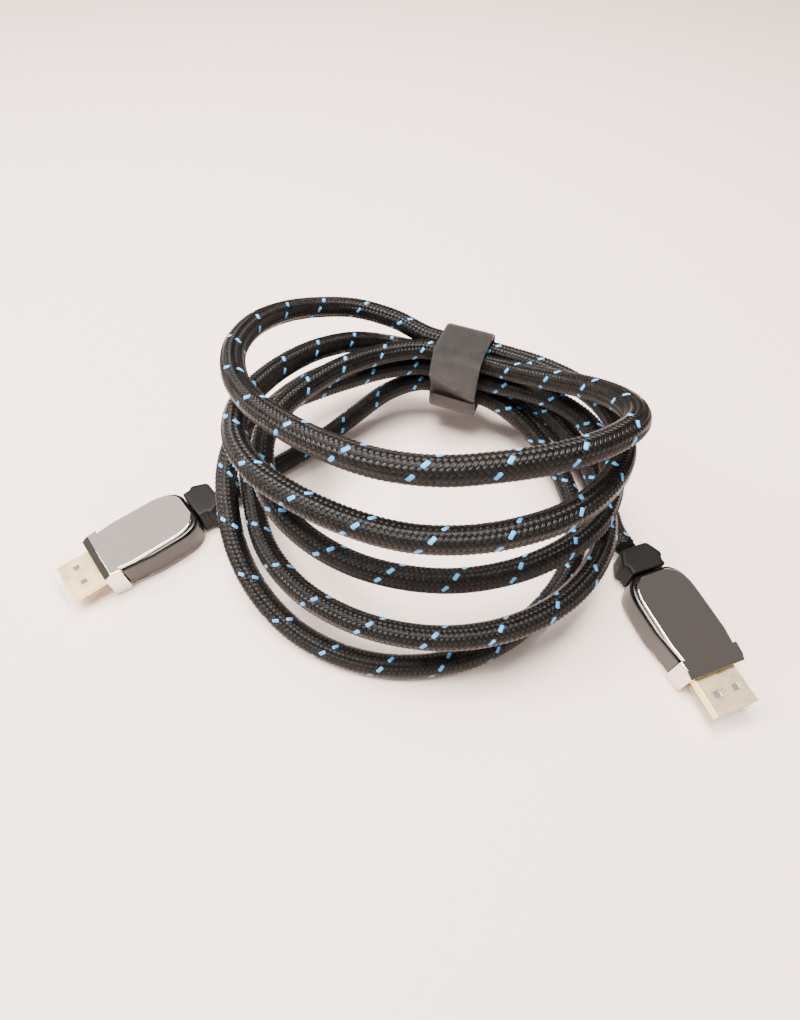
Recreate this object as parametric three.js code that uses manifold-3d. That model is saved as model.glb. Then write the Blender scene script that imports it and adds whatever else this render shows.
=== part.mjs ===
// An HDMI cable, coiled and tied, with a plug at each end lying on the table.
// Millimetres, +Z up. The origin is on the table under the middle of the whole outline.
import * as THREE from "three";
import { mergeVertices } from "three/addons/utils/BufferGeometryUtils.js";
import Module from "manifold-3d";

const wasm = await Module();
wasm.setup();

// Cable.
const CORD_DIAMETER = 7.3;
const CORD_SIDES = 10;
const CORD_STEPS = 84; // facets along the cable, one about every three diameters
const GAP = 0.3; // between pieces that touch on the real thing

// Hook-and-loop tie round the bundle.
const TIE_WIDTH = 18;
const TIE_THICKNESS = 1.1;
const TIE_CENTRE = [28.4, 51.1, 26.3];
const TIE_TURN = -22; // degrees, the bundle's heading at the tie
const BUNDLE_COLUMN = 7.6; // between the two columns of passes
const BUNDLE_ROW = 7.6; // between the three rows of passes
const BUNDLE_BOW = 2.4; // how far the passes curve sideways inside the tie
const BUNDLE_SPREAD = 1.1; // how far they spread up and down at its edges

// Plug, along its own X from the mouth of the strain relief to the tip.
const RELIEF_LENGTH = 9.5;
const RELIEF_BLOCK = 6.4; // length of the wide part
const RELIEF_REAR_WIDTH = 10.6;
const RELIEF_FRONT_WIDTH = 14.4;
const RELIEF_NECK_WIDTH = 12.4;
const RELIEF_THICKNESS = 10;
const BODY_LENGTH = 35;
const BODY_WIDTH = 21.6;
const BODY_FRONT_WIDTH = 18.6;
const BODY_REAR_WIDTH = 11;
const BODY_THICKNESS = 12;
const BODY_REAR_ROUND = 10.5; // length of the rounded rear end
const COLLAR_LENGTH = 5.4;
const COLLAR_BEVEL = 2.4;
const COLLAR_BEVEL_DROP = 1.4;
const PLATE_THICKNESS = 0.9;
const PLATE_MARGIN = 1.3; // the plate lies this far inside the body's outline
const PLATE_BEVEL = 0.5;
const PLATE_SETBACK = 1.4; // from the body's rear end
const SHELL_WIDTH = 13.9;
const SHELL_HEIGHT = 4.45;
const SHELL_WALL = 0.35;
const SHELL_CHAMFER = 1.5; // on the two lower edges
const SHELL_LENGTH = 11; // outside the collar
const SHELL_SEAT = 7; // inside the collar and the body
const LATCH_HOLE = 1.9;
const LATCH_HOLE_SPACING = 6.4;
const LATCH_HOLE_SETBACK = 5.5; // from the tip
const SLOT_WIDTH = 11.2;
const SLOT_HEIGHT = 1.5;
const SLOT_DEPTH = 8;
const SLOT_SETBACK = 0.9; // of the insulator's face from the shell's mouth
const CAP_WALL = 0.7;
const CAP_LENGTH = 12.6;
const CAP_OVERHANG = 2.4; // past the shell's tip
const PLUG_LENGTH = RELIEF_LENGTH + GAP + BODY_LENGTH + SHELL_LENGTH;

// Where each plug's strain relief begins, where its tip points, and how far it is rolled over.
const PLUGS = {
  a: { mouth: [-61.1, 5], heading: 219.5, roll: 0 },
  b: { mouth: [83, -17.6], heading: -70.5, roll: 0 },
};

// The middle of the cable from plug a to plug b, turn by turn.
const ROUTE = [
  // from plug a along the table, and up through the tie
  [-60.6, 5.4, 6], [-53.2, 11.7, 5.2], [-43.5, 21, 3.8], [-33, 29.5, 3.8], [-23, 38, 4.5],
  [-12, 46, 8], [0.5, 51.8, 14.3], [13.5, 53, 18.4], [26.8, 48.7, 18.7], [39.6, 43, 18.4],
  // first turn, which lies on the table in front
  [49.3, 36.2, 15.8], [56.9, 28.2, 12.3], [62.3, 19.5, 9.2], [66.2, 8.5, 6.8], [67.5, -3, 5.1],
  [65.5, -14.5, 4.2], [60, -26, 3.8], [51.5, -36.5, 3.8], [40.5, -46, 3.8], [27.5, -52.8, 3.8],
  [13, -56, 3.8], [-1.5, -55.8, 3.8], [-15.5, -52, 4], [-28.5, -45, 5.5], [-39.5, -35, 10.5],
  [-47, -23, 17], [-51, -9.5, 22.5], [-52.3, 4, 26.5], [-49.3, 16.5, 29.5], [-40.5, 26, 30.3],
  [-28.5, 34.3, 29.8], [-14.5, 43, 28.3], [-0.5, 50.3, 26.8], [13.5, 53, 26.3], [26.8, 48.7, 26.3],
  [39.6, 43, 26.4],
  // second turn
  [51, 37, 28.3], [61.5, 30.3, 29], [68.5, 21.5, 29.8], [72, 10.5, 31], [72.3, -1, 32],
  [69.8, -12, 33], [64, -22.5, 34], [54.5, -31.5, 34.8], [43, -38, 35], [30.5, -41.8, 34.7],
  [18, -43, 34.3], [4.5, -41.7, 34.5], [-9, -37.8, 35.5], [-21.5, -31, 38], [-30.5, -22.3, 41.5],
  [-35, -11.5, 44.5], [-35.5, 0.5, 46], [-31.8, 12.5, 45.2], [-24.5, 25, 42.7], [-14, 37.5, 39.8],
  [-0.5, 48.6, 35.8], [13.5, 53, 34.1], [26.8, 48.7, 33.9], [39.6, 43, 34.4],
  // third turn, the highest
  [49.3, 33, 39.7], [57.5, 22.8, 46], [63.5, 11.5, 53.5], [66.5, 0, 60.5], [66.3, -11, 66.3],
  [61.5, -20.5, 71], [51.5, -28.5, 74], [40, -34, 76], [27, -37.3, 77], [13.5, -38.3, 76.8],
  [0.5, -35.7, 76], [-11.5, -29.3, 74.2], [-23, -20, 71.3], [-33.5, -8.5, 68], [-41, 5, 64.7],
  [-44.2, 20.5, 61.5], [-41.8, 36.5, 57.5], [-35, 52, 51], [-25, 63.5, 44.5],
  [-11.5, 69.8, 39.5], [3, 67.6, 36.3], [16.3, 60.2, 34.1], [29.6, 55.7, 33.9],
  [42.4, 50, 34.2],
  // fourth turn
  [52.5, 41.8, 36.8], [61.3, 32, 39.5], [67, 20.5, 43], [69.5, 8, 47], [68.8, -5, 51],
  [64.5, -18, 55], [56.5, -29.5, 58], [46, -38.5, 60], [34, -43.5, 60.5], [21.5, -45.7, 60.3],
  [7, -45, 60], [-7.5, -40.2, 59.5], [-22, -31.8, 58.5], [-33.5, -22.3, 57.8],
  [-40, -11.3, 57.3], [-41, 1, 56.5], [-37.5, 14, 53.5], [-31.5, 27.8, 49.3], [-22.5, 41.5, 44],
  [-11, 53.3, 37.3], [2, 60.8, 29.6], [16.3, 60.2, 26.4], [29.6, 55.7, 26.3], [42.4, 50, 25.6],
  // fifth turn
  [52.7, 42.3, 21], [61, 33.5, 19.6], [67, 22, 19.8], [70.8, 8, 20.5], [71.5, -6.5, 21.5],
  [69.3, -21, 22.8], [62, -34.5, 24], [50, -46, 25], [35, -53.3, 25.5], [18.5, -56, 25.5],
  [3, -54.3, 25.2], [-12, -48.5, 24], [-26, -38.2, 21.8], [-37.5, -23, 20], [-44, -5, 20],
  [-47.8, 12.5, 20.5], [-45.8, 28.5, 21.2], [-37.5, 43, 21], [-23.5, 55.3, 20.3], [-4, 62, 19],
  [16.3, 60.2, 18.7], [29.6, 55.7, 18.7], [42.4, 50, 17.6],
  // down to the table and along it to plug b
  [53.3, 44.3, 12.8], [64, 37, 9.5], [72.5, 26.5, 6.5], [78.2, 14.5, 4.3], [80.3, 2.3, 3.9],
  [80.5, -9, 5.1], [82.8, -17, 6],
];

const material = (color, roughness, metalness) =>
  new THREE.MeshStandardMaterial({ color, roughness, metalness });
const braid = material(0x24211f, 0.6, 0);
const webbing = material(0x3a3330, 0.9, 0);
const rubber = material(0x161616, 0.55, 0);
const plastic = material(0x0e0e0f, 0.4, 0);
const gunmetal = material(0x8d8580, 0.15, 1);
const gold = material(0xe9d9a8, 0.25, 1);
const clear = material(0xe8eef0, 0.1, 0);
clear.transparent = true;
clear.opacity = 0.35;

// A closed geometry as a solid that can be joined to others or cut.
function solid(geometry) {
  const bare = geometry.index ? geometry.toNonIndexed() : geometry.clone();
  bare.deleteAttribute("normal");
  bare.deleteAttribute("uv");
  const merged = mergeVertices(bare, 1e-4);
  return new wasm.Manifold(
    new wasm.Mesh({
      numProp: 3,
      vertProperties: new Float32Array(merged.attributes.position.array),
      triVerts: new Uint32Array(merged.index.array),
    }),
  );
}

function geometryOf(made) {
  const { vertProperties, triVerts } = made.getMesh();
  const geometry = new THREE.BufferGeometry();
  geometry.setAttribute("position", new THREE.BufferAttribute(vertProperties, 3));
  geometry.setIndex(new THREE.BufferAttribute(triVerts, 1));
  geometry.computeVertexNormals();
  return geometry;
}

function mesh(name, geometry, finish) {
  const made = new THREE.Mesh(geometry, finish);
  made.name = name;
  return made;
}

// An outline in XY raised from z0 to z1, its edges bevelled inwards.
function raised(outline, z0, z1, bevel = 0) {
  const geometry = new THREE.ExtrudeGeometry(outline, {
    depth: z1 - z0 - 2 * bevel,
    bevelEnabled: bevel > 0,
    bevelThickness: bevel,
    bevelSize: bevel,
    bevelOffset: -bevel,
    bevelSegments: 3,
    curveSegments: 12,
  });
  return geometry.translate(0, 0, z0 + bevel);
}

// An outline in YZ drawn out along X from x0 to x1.
function drawn(outline, x0, x1) {
  const geometry = new THREE.ExtrudeGeometry(outline, {
    depth: x1 - x0,
    bevelEnabled: false,
    curveSegments: 6,
  });
  return geometry
    .rotateX(Math.PI / 2)
    .rotateZ(Math.PI / 2)
    .translate(x0, 0, 0);
}

function box(x0, x1, width, z0, z1, y = 0) {
  const geometry = new THREE.BoxGeometry(x1 - x0, width, z1 - z0);
  return geometry.translate((x0 + x1) / 2, y, (z0 + z1) / 2);
}

function roundedRectangle(halfWidth, halfHeight, radius) {
  const shape = new THREE.Shape();
  const x = halfWidth - radius;
  const y = halfHeight - radius;
  shape.absarc(x, y, radius, 0, Math.PI / 2);
  shape.absarc(-x, y, radius, Math.PI / 2, Math.PI);
  shape.absarc(-x, -y, radius, Math.PI, 1.5 * Math.PI);
  shape.absarc(x, -y, radius, 1.5 * Math.PI, 2 * Math.PI);
  shape.closePath();
  return shape;
}

function cable() {
  const points = ROUTE.map((p) => new THREE.Vector3(...p));
  const path = new THREE.CatmullRomCurve3(points, false, "centripetal");
  path.arcLengthDivisions = 4000;
  const section = new THREE.Shape();
  for (let i = 0; i < CORD_SIDES; i++) {
    const turn = (2 * Math.PI * i) / CORD_SIDES;
    const x = (CORD_DIAMETER / 2) * Math.cos(turn);
    const y = (CORD_DIAMETER / 2) * Math.sin(turn);
    if (i) section.lineTo(x, y);
    else section.moveTo(x, y);
  }
  section.closePath();
  const tube = new THREE.ExtrudeGeometry(section, { steps: CORD_STEPS, extrudePath: path });
  return mesh("cable", tube, braid);
}

// A flat band round the bundle, its end lapped over the front and the underside.
function tie() {
  const halfWidth = (BUNDLE_COLUMN + CORD_DIAMETER + BUNDLE_BOW) / 2 + GAP;
  const halfHeight = BUNDLE_ROW + CORD_DIAMETER / 2 + BUNDLE_SPREAD + GAP;
  const radius = CORD_DIAMETER / 2;
  const ring = (grow) =>
    solid(
      drawn(
        roundedRectangle(halfWidth + grow, halfHeight + grow, radius + grow),
        -TIE_WIDTH / 2,
        TIE_WIDTH / 2,
      ),
    );
  const bore = solid(
    drawn(roundedRectangle(halfWidth, halfHeight, radius), -TIE_WIDTH, TIE_WIDTH),
  );
  const lap = ring(2 * TIE_THICKNESS).intersect(
    solid(box(-TIE_WIDTH, TIE_WIDTH, 2 * halfWidth, -2 * halfHeight, -halfHeight / 2, -radius)),
  );
  const band = ring(TIE_THICKNESS).add(lap).subtract(bore);
  const made = mesh("tie_strap", geometryOf(band), webbing);
  made.position.set(...TIE_CENTRE);
  made.rotation.z = THREE.MathUtils.degToRad(TIE_TURN);
  return made;
}

// The body seen from above: a rounded rear end, then sides that draw in a little to the front.
function bodyOutline(x0, x1, inset) {
  const rear = BODY_REAR_WIDTH / 2 - inset;
  const middle = BODY_WIDTH / 2 - inset;
  const front = BODY_FRONT_WIDTH / 2 - inset;
  const shoulder = RELIEF_LENGTH + GAP + BODY_REAR_ROUND;
  const shape = new THREE.Shape();
  shape.moveTo(x0, -rear);
  shape.quadraticCurveTo(x0 + 1.5, -middle, shoulder, -middle);
  shape.lineTo(x1 - BODY_LENGTH * 0.3, -middle);
  shape.lineTo(x1, -front);
  shape.lineTo(x1, front);
  shape.lineTo(x1 - BODY_LENGTH * 0.3, middle);
  shape.lineTo(shoulder, middle);
  shape.quadraticCurveTo(x0 + 1.5, middle, x0, rear);
  shape.closePath();
  return shape;
}

function relief() {
  const rear = RELIEF_REAR_WIDTH / 2;
  const front = RELIEF_FRONT_WIDTH / 2;
  const neck = RELIEF_NECK_WIDTH / 2;
  const shape = new THREE.Shape();
  shape.moveTo(0, -rear + 0.8);
  shape.lineTo(0.8, -rear);
  shape.lineTo(RELIEF_BLOCK - 1.6, -front);
  shape.lineTo(RELIEF_BLOCK - 0.4, -front);
  shape.lineTo(RELIEF_BLOCK, -neck);
  shape.lineTo(RELIEF_LENGTH, -neck);
  shape.lineTo(RELIEF_LENGTH, neck);
  shape.lineTo(RELIEF_BLOCK, neck);
  shape.lineTo(RELIEF_BLOCK - 0.4, front);
  shape.lineTo(RELIEF_BLOCK - 1.6, front);
  shape.lineTo(0.8, rear);
  shape.lineTo(0, rear - 0.8);
  shape.closePath();
  return raised(shape, -RELIEF_THICKNESS / 2, RELIEF_THICKNESS / 2, 0.25);
}

const BODY_START = RELIEF_LENGTH + GAP;
const BODY_END = BODY_START + BODY_LENGTH;
const COLLAR_START = BODY_END - COLLAR_LENGTH;
const PLATE_END = BODY_END - COLLAR_BEVEL;

function housing() {
  const half = BODY_THICKNESS / 2 - PLATE_THICKNESS - GAP;
  const core = solid(
    raised(bodyOutline(BODY_START, COLLAR_START - GAP, 0), -half, half, 1.2),
  );
  const seat = box(
    BODY_END - SHELL_SEAT - GAP,
    BODY_END,
    SHELL_WIDTH + 2 * GAP,
    -SHELL_HEIGHT / 2 - GAP,
    SHELL_HEIGHT / 2 + GAP,
  );
  return geometryOf(core.subtract(solid(seat)));
}

// The metal cover: a plate above and below, joined by the collar that the shell comes out of.
function cover() {
  const half = BODY_THICKNESS / 2;
  const plateOutline = bodyOutline(BODY_START + PLATE_SETBACK, BODY_END, PLATE_MARGIN);
  const plate = raised(plateOutline, half - PLATE_THICKNESS - PLATE_BEVEL, half, PLATE_BEVEL);
  const keep = solid(
    box(BODY_START, PLATE_END, 2 * BODY_WIDTH, half - PLATE_THICKNESS, half),
  );
  const upper = solid(plate).intersect(keep);
  const lower = upper.rotate([180, 0, 0]);
  const outline = bodyOutline(BODY_START, BODY_END, 0);
  const side = new THREE.Shape();
  side.moveTo(COLLAR_START, -half);
  side.lineTo(PLATE_END, -half);
  side.lineTo(BODY_END, -half + COLLAR_BEVEL_DROP);
  side.lineTo(BODY_END, half - COLLAR_BEVEL_DROP);
  side.lineTo(PLATE_END, half);
  side.lineTo(COLLAR_START, half);
  side.closePath();
  const across = new THREE.ExtrudeGeometry(side, {
    depth: 2 * BODY_WIDTH,
    bevelEnabled: false,
  });
  across.rotateX(Math.PI / 2).translate(0, BODY_WIDTH, 0);
  const collar = solid(raised(outline, -half, half, 0.6)).intersect(solid(across));
  const pocket = box(
    COLLAR_START - 1,
    BODY_END + 1,
    SHELL_WIDTH + 2 * GAP,
    -SHELL_HEIGHT / 2 - GAP,
    SHELL_HEIGHT / 2 + GAP,
  );
  return geometryOf(upper.add(lower).add(collar).subtract(solid(pocket)));
}

// The shell's section in YZ, shrunk by inset: a rectangle with its lower corners cut off.
function shellSection(inset) {
  const half = SHELL_WIDTH / 2 - inset;
  const top = SHELL_HEIGHT / 2 - inset;
  const cut = SHELL_CHAMFER - inset * 0.6;
  const shape = new THREE.Shape();
  shape.moveTo(-half, top);
  shape.lineTo(-half, -top + cut);
  shape.lineTo(-half + cut, -top);
  shape.lineTo(half - cut, -top);
  shape.lineTo(half, -top + cut);
  shape.lineTo(half, top);
  shape.closePath();
  return shape;
}

const SHELL_START = BODY_END - SHELL_SEAT;

function shell() {
  const outside = solid(drawn(shellSection(0), SHELL_START, PLUG_LENGTH));
  const inside = solid(drawn(shellSection(SHELL_WALL), SHELL_START - 1, PLUG_LENGTH + 1));
  let made = outside.subtract(inside);
  const middle = PLUG_LENGTH - LATCH_HOLE_SETBACK;
  for (const y of [-LATCH_HOLE_SPACING / 2, LATCH_HOLE_SPACING / 2]) {
    const hole = box(
      middle - LATCH_HOLE / 2,
      middle + LATCH_HOLE / 2,
      LATCH_HOLE,
      -SHELL_HEIGHT,
      SHELL_HEIGHT,
      y,
    );
    made = made.subtract(solid(hole));
  }
  return geometryOf(made);
}

function insulator() {
  const face = PLUG_LENGTH - SLOT_SETBACK;
  const block = solid(drawn(shellSection(SHELL_WALL + GAP), SHELL_START, face));
  const slot = box(
    face - SLOT_DEPTH,
    face + 1,
    SLOT_WIDTH,
    -SLOT_HEIGHT / 2,
    SLOT_HEIGHT / 2,
  );
  return geometryOf(block.subtract(solid(slot)));
}

// A clear dust cap, open to the rear, that slips over the shell.
function cap() {
  const end = PLUG_LENGTH + CAP_OVERHANG;
  const start = end - CAP_LENGTH;
  const outside = solid(drawn(shellSection(-GAP - CAP_WALL), start, end));
  const inside = solid(drawn(shellSection(-GAP), start - 1, end - CAP_WALL));
  return geometryOf(outside.subtract(inside));
}

function plug(letter) {
  const { mouth, heading, roll } = PLUGS[letter];
  const group = new THREE.Group();
  group.add(
    mesh(`plug_${letter}_strain_relief`, relief(), rubber),
    mesh(`plug_${letter}_housing`, housing(), plastic),
    mesh(`plug_${letter}_metal_cover`, cover(), gunmetal),
    mesh(`plug_${letter}_shell`, shell(), gold),
    mesh(`plug_${letter}_insulator`, insulator(), plastic),
    mesh(`plug_${letter}_dust_cap`, cap(), clear),
  );
  group.rotation.set(
    THREE.MathUtils.degToRad(roll),
    0,
    THREE.MathUtils.degToRad(heading),
    "ZYX",
  );
  group.position.set(...mouth, BODY_THICKNESS / 2);
  return group;
}

const part = new THREE.Group();
part.add(cable(), tie(), plug("a"), plug("b"));

// The whole outline is centred over the origin.
const outline = new THREE.Box3().setFromObject(part, true);
part.position.x = -(outline.min.x + outline.max.x) / 2;
part.position.y = -(outline.min.y + outline.max.y) / 2;

export default part;
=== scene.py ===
"""An HDMI cable, coiled and tied, with its two capped plugs lying on the table.

Metres, +Z up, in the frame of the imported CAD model. Lengths that end in MM are millimetres.
"""

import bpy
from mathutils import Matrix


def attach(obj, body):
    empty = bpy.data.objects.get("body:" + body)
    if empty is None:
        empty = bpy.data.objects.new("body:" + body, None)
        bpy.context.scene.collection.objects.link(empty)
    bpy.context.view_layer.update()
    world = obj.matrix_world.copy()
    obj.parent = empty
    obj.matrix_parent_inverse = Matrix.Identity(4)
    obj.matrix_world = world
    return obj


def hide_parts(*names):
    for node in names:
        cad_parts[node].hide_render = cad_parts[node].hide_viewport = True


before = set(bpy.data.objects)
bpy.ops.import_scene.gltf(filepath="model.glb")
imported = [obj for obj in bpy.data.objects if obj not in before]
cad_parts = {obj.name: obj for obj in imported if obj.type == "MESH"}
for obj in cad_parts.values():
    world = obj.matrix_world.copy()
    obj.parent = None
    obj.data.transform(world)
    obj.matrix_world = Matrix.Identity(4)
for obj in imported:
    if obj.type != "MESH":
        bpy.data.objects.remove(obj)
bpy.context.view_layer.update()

import math

import bmesh
import bpy
from mathutils import Matrix, Vector

BODY = "cable_and_plugs"
MM = 0.001
SHIFT = Vector((0.575, 0.77, 0))  # from the route's own origin to the middle of the outline

CORD_DIAMETER = 7.3
LINE_STEPS = 12  # of the middle line for each span of the route
BRAID_PITCH = 17.9  # one turn of a carrier round the cable
BRAID_COLUMNS = 12  # of floats round the cable
BRAID_DEPTH = 0.36  # from the crown of a yarn to the core under the braid, whose near-black colour is partly painted shade in the gaps between the floats
CORE_STEP = 3.6  # between the rings of the core

# Where each plug begins, where its tip points and how far it is rolled over.
PLUGS = {
    "a": {"mouth": (-61.1, 5), "heading": 219.5, "roll": 0.0},
    "b": {"mouth": (83, -17.6), "heading": -70.5, "roll": 0.0},
}
BODY_THICKNESS = 12.0

# The middle of the cable from plug a to plug b, turn by turn.
ROUTE = [
    # from plug a along the table, and up through the tie
    (-60.6, 5.4, 6), (-53.2, 11.7, 5.2), (-43.5, 21, 3.8), (-33, 29.5, 3.8), (-23, 38, 4.5),
    (-12, 46, 8), (0.5, 51.8, 14.3), (13.5, 53, 18.4), (26.8, 48.7, 18.7), (39.6, 43, 18.4),
    # first turn, which lies on the table in front
    (49.3, 36.2, 15.8), (56.9, 28.2, 12.3), (62.3, 19.5, 9.2), (66.2, 8.5, 6.8), (67.5, -3, 5.1),
    (65.5, -14.5, 4.2), (60, -26, 3.8), (51.5, -36.5, 3.8), (40.5, -46, 3.8), (27.5, -52.8, 3.8),
    (13, -56, 3.8), (-1.5, -55.8, 3.8), (-15.5, -52, 4), (-28.5, -45, 5.5), (-39.5, -35, 10.5),
    (-47, -23, 17), (-51, -9.5, 22.5), (-52.3, 4, 26.5), (-49.3, 16.5, 29.5), (-40.5, 26, 30.3),
    (-28.5, 34.3, 29.8), (-14.5, 43, 28.3), (-0.5, 50.3, 26.8), (13.5, 53, 26.3),
    (26.8, 48.7, 26.3), (39.6, 43, 26.4),
    # second turn
    (51, 37, 28.3), (61.5, 30.3, 29), (68.5, 21.5, 29.8), (72, 10.5, 31), (72.3, -1, 32),
    (69.8, -12, 33), (64, -22.5, 34), (54.5, -31.5, 34.8), (43, -38, 35), (30.5, -41.8, 34.7),
    (18, -43, 34.3), (4.5, -41.7, 34.5), (-9, -37.8, 35.5), (-21.5, -31, 38), (-30.5, -22.3, 41.5),
    (-35, -11.5, 44.5), (-35.5, 0.5, 46), (-31.8, 12.5, 45.2), (-24.5, 25, 42.7), (-14, 37.5, 39.8),
    (-0.5, 48.6, 35.8), (13.5, 53, 34.1), (26.8, 48.7, 33.9), (39.6, 43, 34.4),
    # third turn, the highest
    (49.3, 33, 39.7), (57.5, 22.8, 46), (63.5, 11.5, 53.5), (66.5, 0, 60.5), (66.3, -11, 66.3),
    (61.5, -20.5, 71), (51.5, -28.5, 74), (40, -34, 76), (27, -37.3, 77), (13.5, -38.3, 76.8),
    (0.5, -35.7, 76), (-11.5, -29.3, 74.2), (-23, -20, 71.3), (-33.5, -8.5, 68), (-41, 5, 64.7),
    (-44.2, 20.5, 61.5), (-41.8, 36.5, 57.5), (-35, 52, 51), (-25, 63.5, 44.5),
    (-11.5, 69.8, 39.5), (3, 67.6, 36.3), (16.3, 60.2, 34.1), (29.6, 55.7, 33.9),
    (42.4, 50, 34.2),
    # fourth turn
    (52.5, 41.8, 36.8), (61.3, 32, 39.5), (67, 20.5, 43), (69.5, 8, 47), (68.8, -5, 51),
    (64.5, -18, 55), (56.5, -29.5, 58), (46, -38.5, 60), (34, -43.5, 60.5), (21.5, -45.7, 60.3),
    (7, -45, 60), (-7.5, -40.2, 59.5), (-22, -31.8, 58.5), (-33.5, -22.3, 57.8),
    (-40, -11.3, 57.3), (-41, 1, 56.5), (-37.5, 14, 53.5), (-31.5, 27.8, 49.3), (-22.5, 41.5, 44),
    (-11, 53.3, 37.3), (2, 60.8, 29.6), (16.3, 60.2, 26.4), (29.6, 55.7, 26.3), (42.4, 50, 25.6),
    # fifth turn
    (52.7, 42.3, 21), (61, 33.5, 19.6), (67, 22, 19.8), (70.8, 8, 20.5), (71.5, -6.5, 21.5),
    (69.3, -21, 22.8), (62, -34.5, 24), (50, -46, 25), (35, -53.3, 25.5), (18.5, -56, 25.5),
    (3, -54.3, 25.2), (-12, -48.5, 24), (-26, -38.2, 21.8), (-37.5, -23, 20), (-44, -5, 20),
    (-47.8, 12.5, 20.5), (-45.8, 28.5, 21.2), (-37.5, 43, 21), (-23.5, 55.3, 20.3), (-4, 62, 19),
    (16.3, 60.2, 18.7), (29.6, 55.7, 18.7), (42.4, 50, 17.6),
    # down to the table and along it to plug b
    (53.3, 44.3, 12.8), (64, 37, 9.5), (72.5, 26.5, 6.5), (78.2, 14.5, 4.3), (80.3, 2.3, 3.9),
    (80.5, -9, 5.1), (82.8, -17, 6),
]


# Building blocks.


def add(tree, kind, inputs=(), **settings):
    """A node with its settings, its sockets linked or given their values."""
    node = tree.nodes.new(kind)
    for name, value in settings.items():
        setattr(node, name, value)
    pairs = inputs.items() if isinstance(inputs, dict) else enumerate(inputs)
    for key, value in pairs:
        if isinstance(value, bpy.types.NodeSocket):
            tree.links.new(value, node.inputs[key])
        elif value is not None:
            node.inputs[key].default_value = value
    return node


def put(node, name, value):
    """Fills the socket of that name that the node's settings leave in use."""
    socket = [s for s in node.inputs if s.name == name and s.enabled][0]
    if isinstance(value, bpy.types.NodeSocket):
        node.id_data.links.new(value, socket)
    else:
        socket.default_value = value
    return node


def calculate(tree, operation, *values):
    return add(tree, "ShaderNodeMath", values, operation=operation).outputs[0]


def vector(tree, operation, *values):
    return add(tree, "ShaderNodeVectorMath", values, operation=operation).outputs[0]


def times(tree, direction, amount):
    inputs = {"Vector": direction, "Scale": amount}
    return add(tree, "ShaderNodeVectorMath", inputs, operation="SCALE").outputs[0]


def finish(name, color, roughness, metallic=0.0, **sockets):
    """A material, with its node tree and its Principled shader."""
    made = bpy.data.materials.new(name)
    made.use_nodes = True
    made.diffuse_color = (*color, 1)
    shader = made.node_tree.nodes["Principled BSDF"]
    shader.inputs["Base Color"].default_value = (*color, 1)
    shader.inputs["Roughness"].default_value = roughness
    shader.inputs["Metallic"].default_value = metallic
    for key, value in sockets.items():
        shader.inputs[key.replace("_", " ")].default_value = value
    return made, made.node_tree, shader


def link(tree, output, shader, name):
    tree.links.new(output, shader.inputs[name])


def ramp(tree, factor, stops):
    node = add(tree, "ShaderNodeValToRGB", {"Fac": factor})
    elements = node.color_ramp.elements
    while len(elements) < len(stops):
        elements.new(0.5)
    for element, (place, color) in zip(elements, stops):
        element.position = place
        element.color = (*color, 1)
    return node.outputs["Color"]


def bump(tree, height, distance, strength=1.0, normal=None):
    inputs = {"Height": height, "Distance": distance, "Strength": strength}
    if normal is not None:
        inputs["Normal"] = normal
    return add(tree, "ShaderNodeBump", inputs).outputs["Normal"]


def piece(name, mesh, *materials):
    made = bpy.data.objects.new(name, mesh)
    bpy.context.collection.objects.link(made)
    for one in materials:
        mesh.materials.append(one)
    return made


def evaluated(obj):
    """The object with the mesh that its modifiers make, and no modifiers left."""
    depsgraph = bpy.context.evaluated_depsgraph_get()
    mesh = bpy.data.meshes.new_from_object(
        obj.evaluated_get(depsgraph), preserve_all_data_layers=True, depsgraph=depsgraph
    )
    obj.modifiers.clear()
    obj.data = mesh
    return obj


def place(obj, matrix):
    obj.data.transform(matrix)
    obj.data.update()


def smooth(mesh, angle=180.0):
    """Shades the faces smooth, but for the edges sharper than the angle."""
    mesh.shade_smooth()
    mesh.set_sharp_from_angle(angle=math.radians(angle))


# Camera.


def camera():
    data = bpy.data.cameras.new("view")
    data.sensor_fit = "VERTICAL"
    data.sensor_height = 36
    data.lens = 20.12
    data.clip_start = 0.01
    made = bpy.data.objects.new("view", data)
    made.location = (Vector((5, -115.6, 174.3)) + SHIFT) * MM
    made.rotation_euler = (math.radians(34.5), 0, 0)
    bpy.context.collection.objects.link(made)
    bpy.context.scene.camera = made


# Cable.


def centre_line(per_span):
    """Points along the centripetal curve through the route, in metres."""
    knots = [(Vector(p) + SHIFT) * MM for p in ROUTE]
    knots = [2 * knots[0] - knots[1], *knots, 2 * knots[-1] - knots[-2]]
    line = []
    for before, start, end, after in zip(knots, knots[1:], knots[2:], knots[3:]):
        a = math.sqrt((start - before).length)
        b = math.sqrt((end - start).length)
        c = math.sqrt((after - end).length)
        leaving = ((start - before) / a - (end - before) / (a + b) + (end - start) / b) * b
        arriving = ((end - start) / b - (after - start) / (b + c) + (after - end) / c) * b
        for i in range(per_span):
            t = i / per_span
            line.append(
                (2 * t**3 - 3 * t**2 + 1) * start
                + (t**3 - 2 * t**2 + t) * leaving
                + (3 * t**2 - 2 * t**3) * end
                + (t**3 - t**2) * arriving
            )
    return [*line, knots[-2]]


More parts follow.
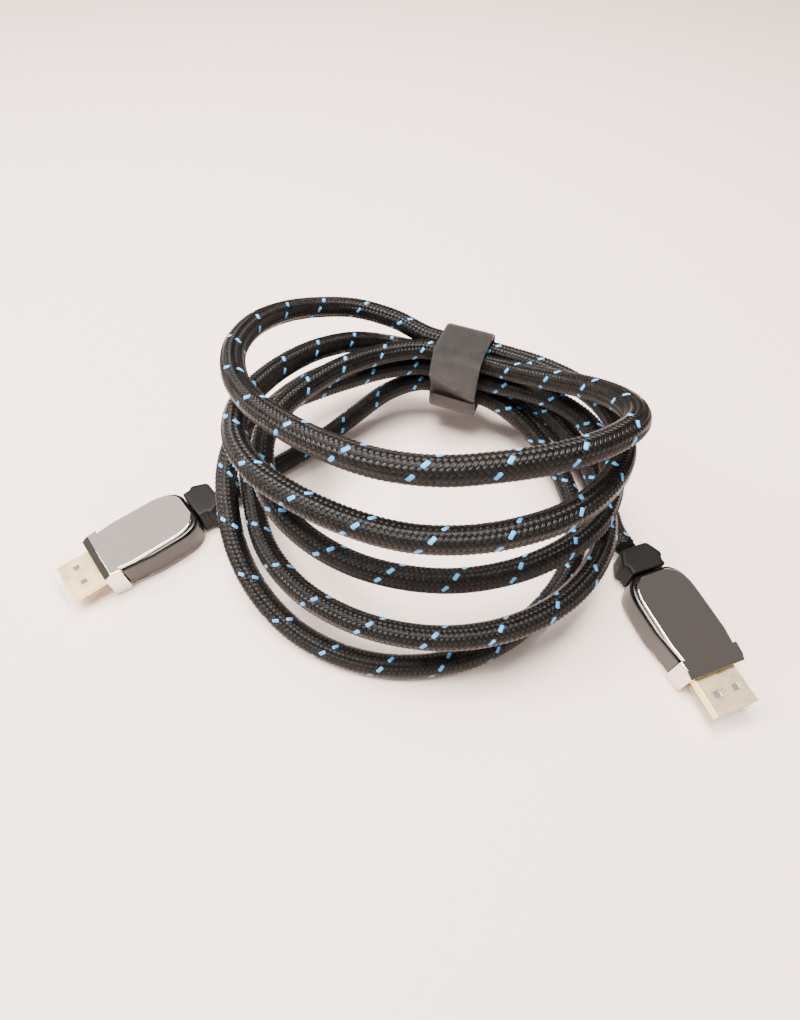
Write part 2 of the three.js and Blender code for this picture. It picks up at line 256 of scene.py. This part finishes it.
def yarn_float(name, side):
    """One float of the braid, laid flat: X along the cable, Y round it, Z outwards, in metres.

    side is -1 or 1: the way that its carrier goes round the cable.
    """
    rise = BRAID_PITCH / BRAID_COLUMNS
    run = side * math.pi * CORD_DIAMETER / BRAID_COLUMNS
    length = math.hypot(rise, run)
    half_width = 0.5 * rise * abs(run) / length
    outline = [(-1, 0), (-0.86, -0.97), (0.86, -0.97), (1, 0), (0.86, 0.97), (-0.86, 0.97)]
    depths = [0.34, 0.25, 0.25, 0.34, 0.25, 0.25]
    ridge = [(-0.62, 0, 0.03), (0, 0, -0.05), (0.62, 0, 0.03)]
    flat = [(a, b, -d) for (a, b), d in zip(outline, depths)] + [(a, b, -d) for a, b, d in ridge]
    forward = Vector((rise, run, 0)) / length
    across = Vector((-forward.y, forward.x, 0)) * half_width
    corners = [a * forward * length / 2 + b * across + Vector((0, 0, z)) for a, b, z in flat]
    faces = [(0, 1, 6), (1, 7, 6), (1, 2, 7), (2, 8, 7), (2, 3, 8)]
    faces += [(3, 4, 8), (4, 7, 8), (4, 5, 7), (5, 6, 7), (5, 0, 6)]
    mesh = bpy.data.meshes.new(name)
    mesh.from_pydata([Vector(c) * MM for c in corners], [], faces)
    layer = mesh.uv_layers.new(name="yarn")
    for loop in mesh.loops:
        a, b, _ = flat[loop.vertex_index]
        layer.data[loop.index].uv = (a / 2 + 0.5, b / 2 + 0.5)
    return piece(name, mesh)


def braid_tree(yarn, tracer, core):
    """Lays floats in columns round a tube and bends the whole along the path."""
    tree = bpy.data.node_groups.new("braid", "GeometryNodeTree")
    face = tree.interface
    face.new_socket("Geometry", in_out="OUTPUT", socket_type="NodeSocketGeometry")
    face.new_socket("Path", in_out="INPUT", socket_type="NodeSocketGeometry")
    for name in ("Left float", "Right float"):
        face.new_socket(name, in_out="INPUT", socket_type="NodeSocketObject")
    for name in ("Diameter", "Pitch", "Depth"):
        face.new_socket(name, in_out="INPUT", socket_type="NodeSocketFloat")
    face.new_socket("Columns", in_out="INPUT", socket_type="NodeSocketInt")
    given = add(tree, "NodeGroupInput").outputs

    path = add(tree, "GeometryNodeMeshToCurve", {"Mesh": given["Path"]}).outputs["Curve"]
    length = add(tree, "GeometryNodeCurveLength", [path]).outputs["Length"]
    radius = calculate(tree, "DIVIDE", given["Diameter"], 2.0)
    columns = given["Columns"]
    spacing = calculate(tree, "DIVIDE", given["Pitch"], columns)

    # One point for each float, numbered round the cable and then along it.
    rows = calculate(tree, "FLOOR", calculate(tree, "DIVIDE", length, spacing))
    rows = calculate(tree, "SUBTRACT", rows, 1.0)
    index = add(tree, "GeometryNodeInputIndex").outputs[0]
    row = calculate(tree, "FLOOR", calculate(tree, "DIVIDE", index, columns))
    column = calculate(tree, "MODULO", index, columns)
    odd = calculate(tree, "MODULO", column, 2.0)
    along = calculate(tree, "ADD", row, calculate(tree, "MULTIPLY_ADD", odd, 0.5, 0.5))
    along = calculate(tree, "MULTIPLY", along, spacing)
    share = calculate(tree, "DIVIDE", calculate(tree, "ADD", column, 0.5), columns)
    around = calculate(tree, "MULTIPLY", share, -2 * math.pi)
    around = calculate(tree, "MULTIPLY", around, radius)
    spot = add(tree, "ShaderNodeCombineXYZ", [along, around, radius]).outputs[0]
    count = calculate(tree, "MULTIPLY", rows, columns)
    points = add(tree, "GeometryNodePoints", [count, spot]).outputs[0]

    templates = add(tree, "GeometryNodeGeometryToInstance")
    for name in ("Right float", "Left float"):
        info = add(tree, "GeometryNodeObjectInfo", [given[name]])
        tree.links.new(info.outputs["Geometry"], templates.inputs[0])
    floats = add(
        tree,
        "GeometryNodeInstanceOnPoints",
        {"Points": points, "Instance": templates.outputs[0], "Pick Instance": True,
         "Instance Index": odd},
    ).outputs[0]

    # One carrier of the twelve that go one way is the tracer.
    place_in_turn = calculate(tree, "SUBTRACT", row, column)
    place_in_turn = calculate(tree, "FLOORED_MODULO", place_in_turn, columns)
    first = calculate(tree, "LESS_THAN", place_in_turn, 0.5)
    marked = calculate(tree, "MULTIPLY", first, calculate(tree, "SUBTRACT", 1.0, odd))
    for name, value in (("tracer", marked), ("shade", None)):
        if value is None:
            chance = add(tree, "FunctionNodeRandomValue", data_type="FLOAT")
            put(chance, "Seed", 4)
            value = [s for s in chance.outputs if s.enabled][0]
        stored = add(
            tree, "GeometryNodeStoreNamedAttribute", {"Geometry": floats, "Name": name},
            data_type="FLOAT", domain="INSTANCE",
        )
        floats = put(stored, "Value", value).outputs[0]
    floats = add(tree, "GeometryNodeRealizeInstances", [floats]).outputs[0]

    flat = add(tree, "GeometryNodeInputPosition").outputs[0]
    x, y, z = add(tree, "ShaderNodeSeparateXYZ", [flat]).outputs
    sample = add(
        tree, "GeometryNodeSampleCurve", {"Curves": path}, mode="LENGTH", use_all_curves=True
    )
    put(sample, "Length", x)
    tangent, normal = sample.outputs["Tangent"], sample.outputs["Normal"]
    side = vector(tree, "CROSS_PRODUCT", tangent, normal)
    angle = calculate(tree, "DIVIDE", y, radius)
    outwards = vector(
        tree, "ADD",
        times(tree, normal, calculate(tree, "COSINE", angle)),
        times(tree, side, calculate(tree, "SINE", angle)),
    )
    bent = vector(tree, "ADD", sample.outputs["Position"], times(tree, outwards, z))
    floats = add(
        tree, "GeometryNodeSetPosition", {"Geometry": floats, "Position": bent}
    ).outputs[0]
    floats = add(tree, "GeometryNodeSetMaterial", {"Geometry": floats, "Material": yarn})
    is_tracer = add(tree, "GeometryNodeInputNamedAttribute", {"Name": "tracer"}, data_type="FLOAT")
    is_tracer = [s for s in is_tracer.outputs if s.enabled][0]
    floats = add(
        tree, "GeometryNodeSetMaterial",
        {"Geometry": floats.outputs[0], "Material": tracer,
         "Selection": calculate(tree, "GREATER_THAN", is_tracer, 0.5)},
    ).outputs[0]

    # The core under the floats stands for the cable inside the braid; its near-black matte colour
    # is painted shade in the gaps between the floats.
    ring = add(tree, "GeometryNodeCurvePrimitiveCircle", mode="RADIUS")
    put(ring, "Resolution", 12)
    put(ring, "Radius", calculate(tree, "SUBTRACT", radius, given["Depth"]))
    sparse = add(tree, "GeometryNodeResampleCurve", {"Curve": path}, mode="LENGTH")
    put(sparse, "Length", CORE_STEP * MM)
    inner = add(
        tree, "GeometryNodeCurveToMesh",
        {"Curve": sparse.outputs[0], "Profile Curve": ring.outputs[0], "Fill Caps": True},
    ).outputs[0]
    inner = add(tree, "GeometryNodeSetMaterial", {"Geometry": inner, "Material": core})
    joined = add(tree, "GeometryNodeJoinGeometry")
    tree.links.new(inner.outputs[0], joined.inputs[0])
    tree.links.new(floats, joined.inputs[0])
    shaded = add(tree, "GeometryNodeSetShadeSmooth", {"Geometry": joined.outputs[0]})
    done = add(tree, "NodeGroupOutput")
    tree.links.new(shaded.outputs[0], done.inputs[0])
    return tree


def cable(finishes):
    line = centre_line(LINE_STEPS)
    mesh = bpy.data.meshes.new("cable_braid")
    mesh.from_pydata(line, [(i, i + 1) for i in range(len(line) - 1)], [])
    made = piece("cable_braid", mesh)
    left, right = yarn_float("left_float", -1), yarn_float("right_float", 1)
    tree = braid_tree(finishes["yarn"], finishes["tracer"], finishes["core"])
    modifier = made.modifiers.new("braid", "NODES")
    modifier.node_group = tree
    sizes = {
        "Left float": left,
        "Right float": right,
        "Diameter": CORD_DIAMETER * MM,
        "Pitch": BRAID_PITCH * MM,
        "Depth": BRAID_DEPTH * MM,
        "Columns": BRAID_COLUMNS,
    }
    for socket in tree.interface.items_tree:
        if socket.name in sizes:
            modifier[socket.identifier] = sizes[socket.name]
    evaluated(made)
    for template in (left, right):
        bpy.data.objects.remove(template)
    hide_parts("cable")
    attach(made, BODY)
    length = sum((b - a).length for a, b in zip(line, line[1:]))
    return made, line, length


# Finishes.


def yarn_effect():
    """Fine strands along each float, and a shade of its own for each."""
    tree = bpy.data.node_groups.new("yarn_strands", "ShaderNodeTree")
    for name in ("Strands", "Shade"):
        tree.interface.new_socket(name, in_out="OUTPUT", socket_type="NodeSocketFloat")
    tree.interface.new_socket("Strand count", in_out="INPUT", socket_type="NodeSocketFloat")
    count = add(tree, "NodeGroupInput").outputs["Strand count"]
    lay = add(tree, "ShaderNodeUVMap", uv_map="yarn").outputs[0]
    _, across, _ = add(tree, "ShaderNodeSeparateXYZ", [lay]).outputs
    turns = calculate(tree, "MULTIPLY", calculate(tree, "MULTIPLY", across, count), 2 * math.pi)
    shade = add(tree, "ShaderNodeAttribute", attribute_name="shade").outputs["Fac"]
    add(tree, "NodeGroupOutput", {"Strands": calculate(tree, "SINE", turns), "Shade": shade})
    return tree


def braid_finishes():
    effect = yarn_effect()
    yarn, tree, shader = finish(
        "braid_yarn", (0.004, 0.0035, 0.003), 0.34, Specular_IOR_Level=0.24
    )
    tracer, tracer_tree, tracer_shader = finish("tracer_yarn", (0.06, 0.36, 0.74), 0.45)
    # Near-black and matte: the cable under the braid, with painted shade for the gaps between the
    # floats.
    core, _, _ = finish("braid_core", (0.002, 0.002, 0.002), 0.9, Specular_IOR_Level=0.1)
    for t, s, dark, pale in (
        (tree, shader, (0.0015, 0.0012, 0.001), (0.006, 0.005, 0.0042)),
        (tracer_tree, tracer_shader, (0.04, 0.30, 0.66), (0.08, 0.42, 0.82)),
    ):
        strands = add(t, "ShaderNodeGroup", {"Strand count": 3.5}, node_tree=effect).outputs
        link(t, bump(t, strands["Strands"], 0.00004, 0.6), s, "Normal")
        link(t, ramp(t, strands["Shade"], [(0, dark), (1, pale)]), s, "Base Color")
    return {"yarn": yarn, "tracer": tracer, "core": core}


# Tie.

TIE_WIDTH = 18.0
TIE_THICKNESS = 1.1
TIE_CENTRE = (28.4, 51.1, 26.3)
TIE_TURN = -22.0
TIE_HALF_WIDTH = 8.95
TIE_HALF_HEIGHT = 12.65
TIE_CORNER = 3.65
TIE_STEPS = 264  # round the bundle
TIE_CROSS_POINTS = 19  # over the width
FLAP_START = 5.0  # below the middle of the front
FLAP_LENGTH = 27.0
CREASE_HEIGHT = 2.3  # of the crease that runs down across the front to the right
CREASE_MIDDLE = 0.6  # over the middle of the front
CREASE_SLOPE = 0.33
CREASE_TOP = 10.5  # where the bulge over the crease begins
CREASE_REACH = 5.5  # of the bulge under it


def around_bundle(grow, steps):
    """A rounded rectangle round the bundle in YZ, from the middle of the front, downwards first.

    Gives (y, z, outward y, outward z, distance gone) for each step, in millimetres.
    """
    wide, tall = TIE_HALF_WIDTH - TIE_CORNER, TIE_HALF_HEIGHT - TIE_CORNER
    radius = TIE_CORNER + grow
    arc = math.pi / 2 * radius
    runs = [tall, arc, 2 * wide, arc, 2 * tall, arc, 2 * wide, arc, tall]
    total = sum(runs)
    out = []
    for i in range(steps):
        gone = total * i / steps
        rest, leg = gone, 0
        while rest > runs[leg]:
            rest -= runs[leg]
            leg += 1
        if leg in (0, 8):
            z = -rest if leg == 0 else tall - rest
            out.append((-wide - radius, z, -1, 0, gone))
        elif leg == 2:
            out.append((-wide + rest, -tall - radius, 0, -1, gone))
        elif leg == 4:
            out.append((wide + radius, -tall + rest, 1, 0, gone))
        elif leg == 6:
            out.append((wide - rest, tall + radius, 0, 1, gone))
        else:
            centre = {1: (-wide, -tall), 3: (wide, -tall), 5: (wide, tall), 7: (-wide, tall)}[leg]
            turn = {1: math.pi, 3: 1.5 * math.pi, 5: 0, 7: math.pi / 2}[leg] + rest / radius
            y, z = math.cos(turn), math.sin(turn)
            out.append((centre[0] + radius * y, centre[1] + radius * z, y, z, gone))
    return out, total


def band(name, inner, first, last, width, thickness, swell):
    """A strip round the bundle from one distance to another, with rounded long edges.

    swell(x, gone) gives how far both its faces stand out there, in millimetres.
    """
    points, _ = around_bundle(inner, TIE_STEPS)
    chosen = [p for p in points if first <= p[4] <= last]
    closed = len(chosen) == len(points)
    cross = TIE_CROSS_POINTS
    bm = bmesh.new()
    uv = bm.loops.layers.uv.new("lay")
    rings = []
    for y, z, out_y, out_z, gone in chosen:
        ring = []
        for face in (0, 1):
            for j in range(cross):
                across = -1 + 2 * j / (cross - 1)
                x = width / 2 * across
                edge = max(0.0, abs(across) - 0.93) / 0.07
                out = thickness * (1 - 0.3 * edge**2) if face else thickness * 0.3 * edge**2
                out += swell(x, gone)
                spot = Vector((x, y + out * out_y, z + out * out_z)) * MM
                ring.append((bm.verts.new(spot), (gone * MM, x * MM)))
        rings.append(ring)
    count = len(rings)
    for i in range(count if closed else count - 1):
        here, there = rings[i], rings[(i + 1) % count]
        for face in (0, 1):
            for j in range(cross - 1):
                k = face * cross + j
                quad = [here[k], here[k + 1], there[k + 1], there[k]]
                build(bm, uv, quad if face else quad[::-1])
        build(bm, uv, [here[0], here[cross], there[cross], there[0]])
        low, high = cross - 1, 2 * cross - 1
        build(bm, uv, [here[low], there[low], there[high], here[high]])
    if not closed:
        for ring, turned in ((rings[0], False), (rings[-1], True)):
            for j in range(cross - 1):
                quad = [ring[j], ring[j + 1], ring[cross + j + 1], ring[cross + j]]
                build(bm, uv, quad[::-1] if turned else quad)
    bmesh.ops.recalc_face_normals(bm, faces=bm.faces)
    mesh = bpy.data.meshes.new(name)
    bm.to_mesh(mesh)
    bm.free()
    return mesh


def build(bm, uv, corners):
    face = bm.faces.new([corner[0] for corner in corners])
    for loop, corner in zip(face.loops, corners):
        loop[uv].uv = corner[1]


def bell(value, middle, reach):
    return math.exp(-(((value - middle) / reach) ** 2))


def tie(webbing):
    _, total = around_bundle(0, TIE_STEPS)

    def ring_swell(x, gone):
        height = -gone if gone < total / 2 else total - gone
        crest = CREASE_MIDDLE - CREASE_SLOPE * x
        if height > crest:
            rise = max(0.0, 1 - (height - crest) / (CREASE_TOP - crest))
        else:
            rise = max(0.0, 1 - (crest - height) / CREASE_REACH) ** 1.6
        return CREASE_HEIGHT * rise - 0.3 * bell(height, crest - 6.5, 1.8)

    loop = band("tie_loop", 0.0, -1, total + 1, TIE_WIDTH, TIE_THICKNESS, ring_swell)
    flap = band(
        "tie_flap", TIE_THICKNESS, FLAP_START, FLAP_START + FLAP_LENGTH,
        TIE_WIDTH - 0.4, TIE_THICKNESS - 0.1,
        lambda x, gone: 0.12 * bell(gone, FLAP_START + 3, 3),
    )
    turn = Matrix.Rotation(math.radians(TIE_TURN), 4, "Z")
    home = Matrix.Translation((Vector(TIE_CENTRE) + SHIFT) * MM) @ turn
    bm = bmesh.new()
    for mesh in (loop, flap):
        bm.from_mesh(mesh)
    mesh = bpy.data.meshes.new("hook_and_loop_tie")
    bm.to_mesh(mesh)
    bm.free()
    made = piece("hook_and_loop_tie", mesh, webbing)
    place(made, home)
    smooth(mesh, 55)
    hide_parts("tie_strap")
    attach(made, BODY)


# Plugs.

MOULD_GRID = 0.28
MOULD_ROUNDS = 34  # of smoothing
CONTACT_PLACE = 51.2  # from the mouth of the strain relief to the middle of the contacts


def joined_copy(node, material, whole_faces):
    """A copy of a CAD node with its triangles joined, into whole flat faces if asked."""
    bm = bmesh.new()
    bm.from_mesh(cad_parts[node].data)
    bmesh.ops.remove_doubles(bm, verts=bm.verts, dist=2e-6)
    if whole_faces:
        level = math.radians(1)
        bmesh.ops.dissolve_limit(bm, angle_limit=level, verts=bm.verts, edges=bm.edges)
        bmesh.ops.recalc_face_normals(bm, faces=bm.faces)
    mesh = bpy.data.meshes.new(node + "_finished")
    bm.to_mesh(mesh)
    bm.free()
    return piece(node + "_finished", mesh, material)


def stand_in_for(made, node, body=BODY):
    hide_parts(node)
    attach(made, body)
    return made


def refined(node, material, bevel, body=BODY, angle=24.0, segments=3):
    """A CAD node with its edges rounded, in that finish."""
    made = joined_copy(node, material, whole_faces=True)
    edges = made.modifiers.new("edges", "BEVEL")
    edges.width = bevel * MM
    edges.segments = segments
    edges.limit_method = "ANGLE"
    edges.angle_limit = math.radians(angle)
    edges.miter_outer = "MITER_ARC"
    edges.use_clamp_overlap = True
    normals = made.modifiers.new("normals", "WEIGHTED_NORMAL")
    normals.keep_sharp = True
    made.data.shade_smooth()
    return stand_in_for(evaluated(made), node, body)


def moulded(node, material):
    """A CAD node with its edges softened all over, as soft rubber has them."""
    made = joined_copy(node, material, whole_faces=False)
    grid = made.modifiers.new("grid", "REMESH")
    grid.mode = "VOXEL"
    grid.voxel_size = MOULD_GRID * MM
    soft = made.modifiers.new("soft", "SMOOTH")
    soft.factor = 0.5
    soft.iterations = MOULD_ROUNDS
    smooth(evaluated(made).data)
    return stand_in_for(made, node)


def contact_tree(material):
    """Rows of contact strips along Y, above and below the middle of the slot."""
    tree = bpy.data.node_groups.new("contacts", "GeometryNodeTree")
    face = tree.interface
    face.new_socket("Geometry", in_out="OUTPUT", socket_type="NodeSocketGeometry")
    face.new_socket("Geometry", in_out="INPUT", socket_type="NodeSocketGeometry")
    for name in ("Spacing", "Strip width", "Strip length", "Row height"):
        face.new_socket(name, in_out="INPUT", socket_type="NodeSocketFloat")
    given = add(tree, "NodeGroupInput").outputs
    size = add(
        tree, "ShaderNodeCombineXYZ", [given["Strip length"], given["Strip width"], 0.00012]
    )
    strip = add(tree, "GeometryNodeMeshCube", {"Size": size.outputs[0]}).outputs[0]
    join = add(tree, "GeometryNodeJoinGeometry")
    for count, side in ((10, 1.0), (9, -1.0)):
        half = calculate(tree, "MULTIPLY", given["Spacing"], (count - 1) / 2)
        height = calculate(tree, "MULTIPLY", given["Row height"], side)
        start = add(
            tree, "ShaderNodeCombineXYZ", [0.0, calculate(tree, "MULTIPLY", half, -1.0), height]
        )
        step = add(tree, "ShaderNodeCombineXYZ", [0.0, given["Spacing"], 0.0])
        row = add(
            tree, "GeometryNodeMeshLine",
            {"Count": count, "Start Location": start.outputs[0], "Offset": step.outputs[0]},
            mode="OFFSET",
        )
        strips = add(
            tree, "GeometryNodeInstanceOnPoints", {"Points": row.outputs[0], "Instance": strip}
        )
        tree.links.new(strips.outputs[0], join.inputs[0])
    real = add(tree, "GeometryNodeRealizeInstances", [join.outputs[0]]).outputs[0]
    done = add(tree, "GeometryNodeSetMaterial", {"Geometry": real, "Material": material})
    out = add(tree, "NodeGroupOutput")
    tree.links.new(done.outputs[0], out.inputs[0])
    return tree


def plug_home(letter):
    pose = PLUGS[letter]
    x, y = pose["mouth"]
    spot = (Vector((x, y, BODY_THICKNESS / 2)) + SHIFT) * MM
    turn = Matrix.Rotation(math.radians(pose["heading"]), 4, "Z")
    roll = Matrix.Rotation(math.radians(pose["roll"]), 4, "X")
    return Matrix.Translation(spot) @ turn @ roll


def contacts(letter, tree, material):
    made = piece(f"plug_{letter}_contacts", bpy.data.meshes.new("contacts"))
    modifier = made.modifiers.new("rows", "NODES")
    modifier.node_group = tree
    sizes = {
        "Spacing": 1.0 * MM,
        "Strip width": 0.45 * MM,
        "Strip length": 6.5 * MM,
        "Row height": 0.68 * MM,
    }
    for socket in tree.interface.items_tree:
        if socket.name in sizes:
            modifier[socket.identifier] = sizes[socket.name]
    evaluated(made)
    place(made, plug_home(letter) @ Matrix.Translation(Vector((CONTACT_PLACE, 0, 0)) * MM))
    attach(made, BODY)


def plug(letter, finishes, rows):
    name = f"plug_{letter}_"
    relief = moulded(name + "strain_relief", finishes["rubber"])
    refined(name + "housing", finishes["plastic"], 0.35, angle=12)
    refined(name + "metal_cover", finishes["gunmetal"], 0.28, segments=4)
    refined(name + "shell", finishes["gold"], 0.12)
    refined(name + "insulator", finishes["plastic"], 0.12)
    refined(name + "dust_cap", finishes["clear"], 0.25, body="cap_" + letter)
    contacts(letter, rows, finishes["gold"])
    return relief


# Finishes of the plugs and the tie.

RUBBER_COLOR = (0.003, 0.0028, 0.0027)
PLASTIC_COLOR = (0.002, 0.002, 0.0022)
GUNMETAL_COLOR = (0.72, 0.65, 0.61)
GOLD_COLOR = (1.0, 0.76, 0.34)
CLEAR_COLOR = (0.93, 0.95, 0.95)


def object_noise(tree, scale, detail):
    spot = add(tree, "ShaderNodeTexCoord").outputs["Object"]
    inputs = {"Vector": spot, "Scale": scale, "Detail": detail}
    return add(tree, "ShaderNodeTexNoise", inputs).outputs["Fac"]


def span(tree, value, low, high):
    inputs = {"Value": value, "From Min": 0.3, "From Max": 0.7, "To Min": low, "To Max": high}
    return add(tree, "ShaderNodeMapRange", inputs).outputs[0]


def handling_effect():
    """Uneven gloss and a fine grain, as on any moulded or plated surface."""
    tree = bpy.data.node_groups.new("gloss_and_grain", "ShaderNodeTree")
    face = tree.interface
    for name in ("Gloss scale", "Smoothest", "Roughest", "Grain scale", "Grain detail"):
        face.new_socket(name, in_out="INPUT", socket_type="NodeSocketFloat")
    for name in ("Roughness", "Grain"):
        face.new_socket(name, in_out="OUTPUT", socket_type="NodeSocketFloat")
    given = add(tree, "NodeGroupInput").outputs
    gloss = object_noise(tree, given["Gloss scale"], 3.0)
    roughness = span(tree, gloss, given["Smoothest"], given["Roughest"])
    grain = object_noise(tree, given["Grain scale"], given["Grain detail"])
    add(tree, "NodeGroupOutput", {"Roughness": roughness, "Grain": grain})
    return tree


def plug_finishes():
    effect = handling_effect()

    def handled(tree, gloss_scale, smoothest, roughest, grain_scale=1000.0, grain_detail=2.0):
        inputs = {
            "Gloss scale": gloss_scale,
            "Smoothest": smoothest,
            "Roughest": roughest,
            "Grain scale": grain_scale,
            "Grain detail": grain_detail,
        }
        return add(tree, "ShaderNodeGroup", inputs, node_tree=effect).outputs

    rubber, tree, shader = finish("rubber", RUBBER_COLOR, 0.5, Specular_IOR_Level=0.18)
    surface = handled(tree, 900, 0.42, 0.6, 5200)
    link(tree, surface["Roughness"], shader, "Roughness")
    link(tree, bump(tree, surface["Grain"], 0.00002), shader, "Normal")
    plastic, tree, shader = finish("black_plastic", PLASTIC_COLOR, 0.25)
    surface = handled(tree, 260, 0.14, 0.26, 4200)
    link(tree, surface["Roughness"], shader, "Roughness")
    link(tree, bump(tree, surface["Grain"], 0.000006), shader, "Normal")
    gunmetal, tree, shader = finish("gunmetal", GUNMETAL_COLOR, 0.04, 1.0)
    link(tree, handled(tree, 180, 0.015, 0.035)["Roughness"], shader, "Roughness")
    gold, tree, shader = finish("gold_plating", GOLD_COLOR, 0.28, 1.0)
    link(tree, handled(tree, 300, 0.24, 0.36)["Roughness"], shader, "Roughness")
    clear, tree, shader = finish("clear_plastic", CLEAR_COLOR, 0.08, IOR=1.45)
    rim = add(tree, "ShaderNodeLayerWeight", {"Blend": 0.3}).outputs["Facing"]
    link(tree, span(tree, rim, 0.07, 0.35), shader, "Alpha")
    surface = handled(tree, 180, 0.08, 0.08, 700, 3.0)
    link(tree, bump(tree, surface["Grain"], 0.00001), shader, "Normal")
    return {
        "rubber": rubber,
        "plastic": plastic,
        "gunmetal": gunmetal,
        "gold": gold,
        "clear": clear,
    }


def webbing_finish():
    """Woven tape: ribs across it and fine yarns along it."""
    made, tree, shader = finish("webbing", (0.006, 0.005, 0.0045), 0.42, Specular_IOR_Level=0.7)
    lay = add(tree, "ShaderNodeUVMap", uv_map="lay").outputs[0]
    along, across, _ = add(tree, "ShaderNodeSeparateXYZ", [lay]).outputs
    ribs = calculate(tree, "SINE", calculate(tree, "MULTIPLY", along, 2 * math.pi / 0.0009))
    yarns = calculate(tree, "SINE", calculate(tree, "MULTIPLY", across, 2 * math.pi / 0.0006))
    weave = calculate(tree, "MULTIPLY", ribs, yarns)
    fuzz = object_noise(tree, 2600, 4)
    height = calculate(tree, "ADD", weave, calculate(tree, "MULTIPLY", fuzz, 1.5))
    link(tree, bump(tree, height, 0.00016, 1.0), shader, "Normal")
    # The colour follows the weave's height: darker in its low places and lighter on its ribs, which
    # is painted shade in the hollows of the weave; the noise adds a real random tone.
    shade = calculate(tree, "MULTIPLY_ADD", weave, 0.25, object_noise(tree, 500, 3))
    link(tree, ramp(tree, shade, [(0.2, (0.003, 0.0024, 0.002)), (0.8, (0.02, 0.016, 0.013))]),
         shader, "Base Color")
    return made


# Floor and light.

FLOOR_COLOR = (0.95, 0.80, 0.73)
ROOM_COLOR = (0.22, 0.205, 0.195, 1)
LIGHT_COLOR = (1.0, 0.93, 0.88)


def floor():
    mesh = bpy.data.meshes.new("floor")
    corners = [(-3, -3, 0), (3, -3, 0), (3, 3, 0), (-3, 3, 0)]
    mesh.from_pydata(corners, [], [(0, 1, 2, 3)])
    pale, _, _ = finish("floor", FLOOR_COLOR, 0.9)
    piece("floor", mesh, pale)


def softbox(name, place_at, size, power, aim=(0, 0, 0.03)):
    data = bpy.data.lights.new(name, "AREA")
    data.shape = "RECTANGLE"
    data.size, data.size_y = size
    data.energy = power
    data.color = LIGHT_COLOR
    made = bpy.data.objects.new(name, data)
    made.location = place_at
    direction = Vector(aim) - Vector(place_at)
    made.rotation_euler = direction.to_track_quat("-Z", "Y").to_euler()
    bpy.context.collection.objects.link(made)


def studio():
    """An even, dim room and four softboxes."""
    world = bpy.data.worlds.new("studio")
    bpy.context.scene.world = world
    world.use_nodes = True
    background = world.node_tree.nodes["Background"]
    background.inputs["Color"].default_value = ROOM_COLOR
    softbox("above", (-0.08, 0.08, 0.9), (0.6, 0.4), 36)
    softbox("left", (-0.75, 0.05, 0.65), (0.3, 0.3), 12)
    softbox("back left", (-0.43, 0.51, 0.81), (0.5, 0.5), 0.9)
    softbox("front", (0.25, -0.75, 0.45), (0.5, 0.2), 2.5)


# Making.

camera()
cord_finishes = braid_finishes()
cord, line, cord_length = cable(cord_finishes)
finishes = plug_finishes()
rows = contact_tree(finishes["gold"])
reliefs = [plug(letter, finishes, rows) for letter in "ab"]
tie(webbing_finish())
floor()
studio()
